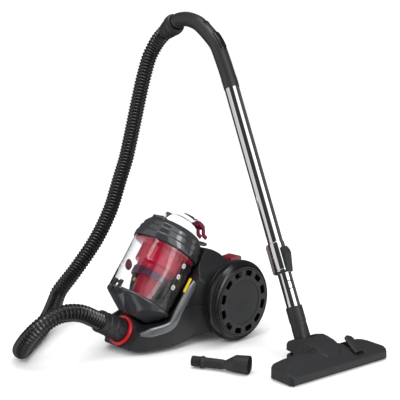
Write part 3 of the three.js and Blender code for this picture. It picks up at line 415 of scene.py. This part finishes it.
# ------------------------------------------------------------------ dust bin
def make_bin():
    outer, inner = BIN_RADIUS, BIN_RADIUS - BIN_WALL
    tube = rounded([(inner, 0.4), (outer, 0.4), (outer, BIN_LENGTH), (inner, BIN_LENGTH)], 0.5)
    piece("bin_clear_tube", *lathe(tube, 128), BIN, "dust_bin", CLEAR, ("bin_tube",))
    cup = []
    count = 128
    profile = [
        (0, 74.4, 0), (-4.6, 74.4, 0), (-6.2, 73.4, 0.2), (-20, 56, 3.9), (-34.5, 36.5, 7.3),
        (-37, 32, 7.9), (-38, 28, 8), (-38, 4, 8),
    ]
    for z, radius, y in profile:
        cup += [(px, py + y, z) for px, py in circle(radius, count)]
    faces = []
    for i in range(len(profile) - 1):
        for k in range(count):
            m = (k + 1) % count
            faces.append((i * count + k, (i + 1) * count + k, (i + 1) * count + m, i * count + m))
    faces.append(tuple(range(len(cup) - count, len(cup))))
    piece("bin_cup", cup, faces, BIN, "dust_bin", GLOSS, ("bin_base",), [
        ("SOLIDIFY", dict(thickness=2.2 * MM, offset=-1, use_quality_normals=True))])
    refine("base_hinge", SATIN, 0.6, 6)
    refine("base_hinge_pin", STEEL, 0)

    body = rounded([
        (30, 66), (41, 66), (41, 77), (44, 80), (50, 80.5), (50, 116), (53, 119), (69.8, 120), (69.8, 124),
        (30, 124),
    ], 1.2)
    piece("cyclone_top", *lathe(body, 96), BIN, "dust_bin", RED_CLEAR, ("cyclone_body",))
    cone = rounded([(17, 4), (20, 4), (28, 56), (36, 58), (36, 65), (26, 65)], 1.0)
    piece("cyclone_lower", *lathe(cone, 96), BIN, "dust_bin", RED_CLEAR, ("cyclone_cone",))
    refine("mesh_shroud", MESH, 0)
    make_bin_marks()


def make_bin_marks():
    """Plain ring marks on the bin's wall, and the small red flap inside it."""
    for z in (102, 76, 50):
        toward_camera = math.atan2(-0.7071 * math.cos(math.radians(38)), 0.7071)
        a = toward_camera + math.radians(41)
        out = Vector((math.cos(a), math.sin(a), 0))
        across = Vector((-math.sin(a), math.cos(a), 0))
        for radius_in, radius_out in ((3.1, 5.2), (0.2, 1.3)):
            points, faces = [], []
            for k in range(40):
                b = 2 * math.pi * k / 40
                for r in (radius_in, radius_out):
                    s = across * (r * math.cos(b))
                    bend = math.sqrt(BIN_RADIUS ** 2 - (r * math.cos(b)) ** 2)
                    p = out * (bend + 0.25) + s + Vector((0, 0, z + r * math.sin(b)))
                    points.append(tuple(p))
            for k in range(40):
                m = (k + 1) % 40
                faces.append((2 * k, 2 * k + 1, 2 * m + 1, 2 * m))
            piece(f"mark_{z}_{int(radius_out)}", points, faces, BIN, "dust_bin", WHITE, modifiers=[
                ("SOLIDIFY", dict(thickness=0.15 * MM, offset=0))])
    flap = [(0.2, -12), (3, -11), (7, -6), (8, 0), (6.5, 6), (3, 11), (0.2, 12.5)]
    place = BIN @ shift(-47, -33, 64) @ turn(35, "X")
    piece("cyclone_flap", *lathe(flap, 40), place, "dust_bin", WINE)


def make_lid():
    top = LID_TOP
    cap = rounded([
        (0.3, top), (57, top), (62, top - 2.2), (69.5, top - 13), (70.4, top - 22.5), (73.4, top - 24),
        (73.8, top - 36.5), (76.2, top - 38), (76.4, BIN_LENGTH + 2), (75.6, BIN_LENGTH + 0.6),
        (69, BIN_LENGTH + 0.6), (68, top - 24), (55, top - 3), (0.3, top - 3),
    ], 1.3)
    piece("lid_cap", *lathe(cap, 128), BIN, "lid", GLOSS, ("bin_lid",))
    tab_path = [(0, -40, 198), (0, -30, 200.5), (0, -14, 201.4), (0, -4, 200.6), (0, 3, 199), (0, 7, 197.5)]
    path, _ = catmull(tab_path, 3)
    piece("lid_tab", *sweep(path, lambda i, t: lozenge(22, 4.8), (1, 0, 0)), CANISTER, "lid", GLOSS)
    pad = rounded([(-18, -64), (18, -64), (18, -43), (-18, -43)], 4)
    points = [(x, y, z) for z in (top - 4, top + 1.6) for x, y in pad]
    n = len(pad)
    faces = [tuple(reversed(range(n))), tuple(range(n, 2 * n))]
    faces += [(k, (k + 1) % n, n + (k + 1) % n, n + k) for k in range(n)]
    piece("handle_seat", points, faces, BIN, "lid", GLOSS)
    refine("lid_seal", SOFT_RUBBER, 0)

    arch = [
        (0, -53, top + 3.2), (0, -51, top + 11), (0, -40, top + 24), (0, -14, top + 36), (0, 16, top + 43),
        (0, 47.5, top + 46),
    ]
    path, _ = catmull(arch, 2.5)
    piece("handle_clear", *sweep(path, lambda i, t: lozenge(14, 5.5), (1, 0, 0)), BIN, "lid", HANDLE_CLEAR,
          ("carry_handle",))
    make_lever()


def make_lever():
    """The release lever: a block over the end of the carry handle, then two legs down to its foot."""
    top = LID_TOP
    low = BIN.inverted() @ Vector((0, 17.6, 209))
    route = [(0, 49, top + 46), (0, 60, top + 45.5), (0, 70, top + 41), (0, 78, top + 32), (0, low.y, low.z)]
    path, _ = catmull(route, 2)
    head = max(2, len(path) * 2 // 5)
    block = sweep(path[:head + 1], lambda i, t: lozenge(12.5, 6, 32, 5), (1, 0, 0))
    piece("lever_red", *block, BIN, "release_lever", WINE, ("bin_release_lever",))
    for name, x in (("left", -8.6), ("right", 8.6)):
        leg = [p + Vector((x, 0, 0)) for p in path[head - 1:]]
        points, faces = sweep(leg, lambda i, t: lozenge(2.6, 4.6, 24), (1, 0, 0))
        piece(f"lever_leg_{name}", points, faces, BIN, "release_lever", WINE)


# ------------------------------------------------------------------ canister body
def make_canister():
    refine("lower_chassis", SATIN, 1.3, 10)
    refine("upper_housing", SATIN, 1.3, 10)
    for side in (-1, 1):
        make_trim(side)
    ring = rounded([
        (INLET_BORE, -4), (INLET_RING - 1.5, -4), (INLET_RING, -2.5), (INLET_RING, 2), (INLET_RING - 2, 4),
        (INLET_BORE, 4),
    ], 1.2)
    piece("inlet_collar", *lathe(ring, 96), INLET, "canister", RED, ("inlet_ring",))
    for name in ("power_pedal", "cord_rewind_pedal"):
        refine(name, PEDAL_RED, 0.6, 5)
    refine("exhaust_grille", SATIN, 0)
    refine("exhaust_filter", FOAM, 0)
    refine("motor_filter", FOAM, 0)
    refine("cord_gland", SOFT_RUBBER, 0)
    refine("inlet_duct", SATIN, 0)
    refine("motor_casing", SATIN, 0)
    refine("motor_rotor", STEEL, 0)
    refine("motor_fan", STEEL, 0)
    refine("cord_drum", SATIN, 0)
    for side in ("left", "right"):
        refine(f"caster_{side}_fork", SATIN, 0.7, 4)
        refine(f"caster_{side}_wheel", SOFT_RUBBER, 0)


def make_trim(side):
    """The glossy band along the cradle's edge, and the marker bar behind the bin."""
    line = [(-226, 47), (-193, 50), (-164, 54.5), (-153, 61), (-135, 88), (-104.4, 126), (-92, 141)]
    plan = [(-249, 38), (-215, 62), (-175, 74), (-151, 79), (-91, 80.5), (-59, 98), (74, 98)]

    def half_width(y):
        for (y0, w0), (y1, w1) in zip(plan, plan[1:]):
            if y <= y1:
                return w0 + (w1 - w0) * (y - y0) / (y1 - y0)
        return plan[-1][1]

    flat, _ = catmull([(0, y, z) for y, z in line], 2.5)
    path = [Vector((side * (half_width(p.y) + 1.4), p.y, p.z)) for p in flat]
    for _ in range(12):
        path = path[:1] + [(a + 2 * b + c) / 4 for a, b, c in zip(path, path[1:], path[2:])] + path[-1:]

    def section(i, t):
        taper = min(1, 0.4 + 5 * t, 0.6 + 4 * (1 - t))
        return lozenge(3.6, 10.2 * taper, 32, 2.6)

    name = "right" if side > 0 else "left"
    piece(f"trim_band_{name}", *sweep(path, section, (1, 0, 0)), CANISTER, "canister", TRIM,
          (f"cradle_trim_{name}",))
    bar, _ = catmull([(side * 80.5, 31.5, z) for z in (55, 72, 88)], 3)
    points, faces = sweep(bar, lambda i, t: lozenge(3.2, 1.6, 20), (1, 0, 0))
    piece(f"marker_bar_{name}", points, faces, BIN, "canister", YELLOW)


def make_connector():
    body = rounded([
        (CONNECTOR_BORE, -12), (21.2, -12), (21.2, -5), (CONNECTOR_RADIUS, -5), (CONNECTOR_RADIUS, 31),
        (24, 33), (23.7, 49), (22.2, 51), (22.2, 57), (23.7, 59), (23.7, CONNECTOR_LENGTH),
        (CONNECTOR_BORE, CONNECTOR_LENGTH),
    ], 0.9)
    piece("connector_body", *lathe(body, 96), INLET, "connector", SATIN, ("hose_connector",))
    for side in ("left", "right"):
        refine(f"connector_button_{side}", GRIP_PLASTIC, 0.5, 5)


# ------------------------------------------------------------------ handle and wand
def make_handle():
    lean = math.radians(LEAN)
    on_axis = [(s * math.sin(lean), s * math.cos(lean)) for s in (575, 587)]
    dip = math.radians(SWIVEL_DIP)
    joints = [(SWIVEL_BACK + r * math.cos(dip), SWIVEL_UP - r * math.sin(dip)) for r in (-13, -1)]
    line = on_axis + [
        (260, 552.5), (275, 580), (297, 614.3), (329.8, 640.5), (362.8, 660.5), (388.8, 668.6), (411.8, 672),
    ] + joints
    spacing, cuff_length = 3, 26
    path, _ = catmull([(-back, 0, up) for back, up in line], spacing)

    def section(i, t):
        cuff = 0.5 if i * spacing < cuff_length else 0.0
        swell = 0.7 * math.sin(math.pi * min(1, t * 1.1))
        return circle(GRIP_RADIUS - 0.6 + cuff + swell * 0.5, 56, 0.98)

    piece("grip", *sweep(path, section, (0, 1, 0)), PLANE, "canister", GRIP_PLASTIC, ("handle_grip",))
    refine("suction_slider", RUBBER, 0.5, 4)
    spine = [(-270, 0, 603.5), (-277, 0, 614.5), (-285.3, 0, 624.9), (-296, 0, 635.5), (-307, 0, 644.3)]
    path, _ = catmull(spine, 2)

    def strip(i, t):
        swell = min(1, 0.35 + 5 * t, 0.35 + 5 * (1 - t))
        return lozenge(8.5 * swell, 3.6 * swell, 28)

    piece("vent_strip", *sweep(path, strip, (0, 1, 0)), PLANE, "canister", RUBBER)
    collar = rounded([
        (17, 0), (20.5, 0), (23.8, 2.5), (24.8, 7), (24.8, 17), (23.6, 21), (22.2, 23.5), (21.8, 33),
        (20.8, 38), (20, SWIVEL_LENGTH), (15, SWIVEL_LENGTH),
    ], 1.6)
    place = PLANE @ shift(-SWIVEL_BACK, 0, SWIVEL_UP) @ turn(-90 - SWIVEL_DIP, "Y")
    piece("swivel_collar_skin", *lathe(collar, 96), place, "swivel_collar", SATIN, ("hose_swivel",))


def make_wand():
    wall = 0.8
    tubes = [
        ("upper_chrome", UPPER_RADIUS, UPPER_FROM + 8, UPPER_TO, "canister", "upper_tube"),
        ("lower_chrome", LOWER_RADIUS, LOWER_FROM, LOWER_TO, "inner_tube", "lower_tube"),
    ]
    for name, radius, start, end, body, node in tubes:
        tube = [(radius - wall, start), (radius, start), (radius, end), (radius - wall, end)]
        piece(name, *lathe(tube, 128), WAND, body, CHROME, (node,))
    r = UPPER_RADIUS
    sleeve = rounded([
        (LOWER_RADIUS + 0.6, UPPER_FROM), (r + 2, UPPER_FROM), (r + 2, 162), (r + 1.4, 163), (r + 1.4, 220),
        (r + 0.4, 222), (r + 0.4, 161.5), (LOWER_RADIUS + 0.6, 161.5),
    ], 0.5)
    piece("sleeve_chrome", *lathe(sleeve, 96), WAND, "canister", CHROME, ("telescope_sleeve",))
    band = rounded([(r + 1.6, 154.2), (r + 2.6, 154.2), (r + 2.6, 159), (r + 1.6, 159)], 0.4)
    piece("sleeve_band", *lathe(band, 96), WAND, "canister", SATIN)
    refine("telescope_release", GRIP_PLASTIC, 0.6, 5)
    refine("park_clip", SILVER, 0.6, 5)
    outer, inner = -r - 12.1, -r - 11
    stripe = [(x, y, z) for z in (162, 214) for x, y in ((outer, -2), (outer, 2), (inner, 2), (inner, -2))]
    faces = [(0, 1, 5, 4), (1, 2, 6, 5), (2, 3, 7, 6), (3, 0, 4, 7), (3, 2, 1, 0), (4, 5, 6, 7)]
    piece("clip_stripe", stripe, faces, WAND, "canister", RED)
    collar = LOWER_RADIUS + 3
    cuff = rounded([
        (LOWER_RADIUS - 1.6, 36.1), (collar - 0.8, 36.1), (collar - 0.8, 48), (collar, 50),
        (collar - 0.2, 81.5), (LOWER_RADIUS + 0.4, 81.5), (LOWER_RADIUS + 0.4, 45.6),
        (LOWER_RADIUS - 1.6, 45.6),
    ], 0.7)
    piece("cuff_skin", *lathe(cuff, 96), WAND, "inner_tube", HEAD_PLASTIC, ("head_cuff",))
    refine("elbow", HEAD_PLASTIC, 0.9, 10)
    make_notches()


def make_notches():
    """Two shallow curved stop marks round the lower tube."""
    radius = LOWER_RADIUS + 0.12
    steps = 8
    for s in (118, 134):
        points, faces = [], []
        for i in range(steps + 1):
            a = math.radians(-62 + i * 9)
            rise = 1.6 * math.sin(math.pi * i / steps)
            for z in (s - 1.2 + rise, s + 1.2 + rise):
                points.append((radius * math.cos(a), radius * math.sin(a), z))
        for i in range(steps):
            faces.append((2 * i, 2 * i + 2, 2 * i + 3, 2 * i + 1))
        piece(f"stop_notch_{s}", points, faces, WAND, "inner_tube", SATIN, modifiers=[
            ("SOLIDIFY", dict(thickness=0.2 * MM, offset=0))])


# ------------------------------------------------------------------ floor head
def make_head():
    refine("head_body", HEAD_PLASTIC, 1.1, 9)
    line, _ = catmull([(71, 63, 26.5), (67, 63, 30.8), (53, 63, 40.4), (42, 63, 47.8), (35, 63, 50.6)], 0.8)

    def tongue(i, t):
        tip = max(0.0, (t - 0.76) / 0.24)
        half_width = max(1.5, 11.9 * math.sqrt(max(0, 1 - tip * tip)))
        return lozenge(half_width, 2.7 + max(0, 1 - 8 * t), 40, 2.6)

    points, faces = sweep(line, tongue, (0, 1, 0))
    piece("pedal_tongue", points, faces, HEAD, "brush_pedal", HEAD_PLASTIC, ("head_pedal",))
    refine("sole_plate", STEEL, 0)
    refine("head_wheels", SOFT_RUBBER, 0)
    points, faces = [], []
    sides, rows, tufts = 6, 2, 70
    strip_length, first_row, row_gap = 224, 70.5, 5
    root, tip = (8.4, 1.1), (1.2, 1.5)
    for row in range(rows):
        for i in range(tufts):
            x = first_row + row_gap * row
            y = -strip_length / 2 + strip_length * (i + 0.5 * row) / tufts
            base = len(points)
            for z, radius in (root, tip):
                for k in range(sides):
                    a = 2 * math.pi * k / sides
                    points.append((x + radius * math.cos(a), y + radius * math.sin(a), z))
            for k in range(sides):
                m = (k + 1) % sides
                faces.append((base + k, base + m, base + sides + m, base + sides + k))
            faces.append(tuple(base + k for k in reversed(range(sides))))
            faces.append(tuple(base + sides + k for k in range(sides)))
    piece("brush_tufts", points, faces, HEAD, "brush", BRISTLE, ("brush_strip",), smooth=False)


def make_tool():
    refine("tool_body", HEAD_PLASTIC, 0.7, 8)
    ribs = [(9, -122), (10.2, -122)]
    for i in range(5):
        s = -121 + i * 3.6
        ribs += [(10.9, s), (10.9, s + 1.4), (10.0, s + 1.8), (10.0, s + 3.2)]
    ribs += [(11.5, -102.8), (9, -102.8)]
    place = TOOL @ shift(0, 0, -5.5) @ turn(90, "Y")
    piece("tool_spout", *lathe(ribs, 64), place, "dusting_brush", SATIN, ("tool_brush",))


# ------------------------------------------------------------------ floor, light and surroundings
def make_stage():
    size = 30
    mesh = bpy.data.meshes.new("floor")
    corners = [(-size, -size, 0), (size, -size, 0), (size, size, 0), (-size, size, 0)]
    mesh.from_pydata(corners, [], [(0, 1, 2, 3)])
    floor = bpy.data.objects.new("floor", mesh)
    material, _, _ = principled("floor_white", (0.95, 0.95, 0.95), 1.0, specular_ior_level=0.0)
    mesh.materials.append(material)
    bpy.context.scene.collection.objects.link(floor)
    floor.location = (0, 0, -0.0005)
    floor.visible_glossy = False

    def area(name, place, target, size_x, size_y, power):
        data = bpy.data.lights.new(name, "AREA")
        data.shape = "RECTANGLE"
        data.size, data.size_y, data.energy = size_x, size_y, power
        light = bpy.data.objects.new(name, data)
        bpy.context.scene.collection.objects.link(light)
        light.location = place
        light.rotation_euler = (Vector(target) - Vector(place)).to_track_quat("-Z", "Y").to_euler()
        return light

    area("key", (0.3, -2.7, 1.9), (0, 0, 0.2), 0.7, 1.5, 26).visible_glossy = False
    area("fill", (2.6, 0.2, 1.4), (0, 0, 0.2), 0.6, 1.6, 14)
    area("top", (0, 0.2, 3.2), (0, 0, 0), 1.6, 1.6, 28)

    world = bpy.data.worlds.new("studio")
    bpy.context.scene.world = world
    world.use_nodes = True
    tree = world.node_tree
    background = tree.nodes["Background"]
    place = tree.nodes.new("ShaderNodeTexCoord")
    split = tree.nodes.new("ShaderNodeSeparateXYZ")
    tree.links.new(place.outputs["Generated"], split.inputs["Vector"])
    angle = tree.nodes.new("ShaderNodeMath")
    angle.operation = "ARCTAN2"
    tree.links.new(split.outputs["Y"], angle.inputs[0])
    tree.links.new(split.outputs["X"], angle.inputs[1])
    span = tree.nodes.new("ShaderNodeMapRange")
    span.inputs["From Min"].default_value = -math.pi
    span.inputs["From Max"].default_value = math.pi
    tree.links.new(angle.outputs["Value"], span.inputs["Value"])

    def bands(stops):
        """Soft boxes and dark gaps round the horizon: how bright each share of a full turn is."""
        ramp = tree.nodes.new("ShaderNodeValToRGB")
        ramp.color_ramp.interpolation = "EASE"
        elements = ramp.color_ramp.elements
        while len(elements) < len(stops):
            elements.new(0.5)
        for element, (position, value) in zip(elements, stops):
            element.position = position
            element.color = (value, value, value, 1)
        tree.links.new(span.outputs["Result"], ramp.inputs["Fac"])
        return ramp.outputs["Color"]

    above = bands([
        (0.0, 0.06), (0.045, 0.06), (0.07, 0.45), (0.20, 0.75), (0.225, 0.9), (0.245, 0.04), (0.40, 0.04),
        (0.43, 1.5), (0.55, 1.5), (0.575, 0.07), (0.70, 0.10), (0.86, 0.10), (1.0, 0.06),
    ])
    below = bands([
        (0.0, 0.06), (0.06, 0.06), (0.10, 0.75), (0.22, 0.75), (0.26, 0.05), (0.36, 0.05), (0.39, 0.45),
        (0.52, 0.35), (0.56, 0.9), (0.65, 1.1), (0.69, 0.08), (1.0, 0.06),
    ])
    height = tree.nodes.new("ShaderNodeMapRange")
    height.inputs["From Min"].default_value = -0.05
    height.inputs["From Max"].default_value = 0.05
    tree.links.new(split.outputs["Z"], height.inputs["Value"])
    level = tree.nodes.new("ShaderNodeMix")
    level.data_type = "RGBA"
    tree.links.new(height.outputs["Result"], level.inputs["Factor"])
    tree.links.new(below, level.inputs[6])
    tree.links.new(above, level.inputs[7])
    rays = tree.nodes.new("ShaderNodeLightPath")
    mix = tree.nodes.new("ShaderNodeMix")
    mix.data_type = "RGBA"
    tree.links.new(rays.outputs["Is Glossy Ray"], mix.inputs["Factor"])
    mix.inputs[6].default_value = (1.06, 1.06, 1.06, 1)
    tree.links.new(level.outputs[2], mix.inputs[7])
    tree.links.new(mix.outputs[2], background.inputs["Color"])
    background.inputs["Strength"].default_value = 1.0
    bpy.context.scene.view_settings.view_transform = "Standard"


make_hose()
for wheel_side in (-1, 1):
    make_wheel(wheel_side)
make_bin()
make_lid()
make_canister()
make_connector()
make_handle()
make_wand()
make_head()
make_tool()
make_stage()
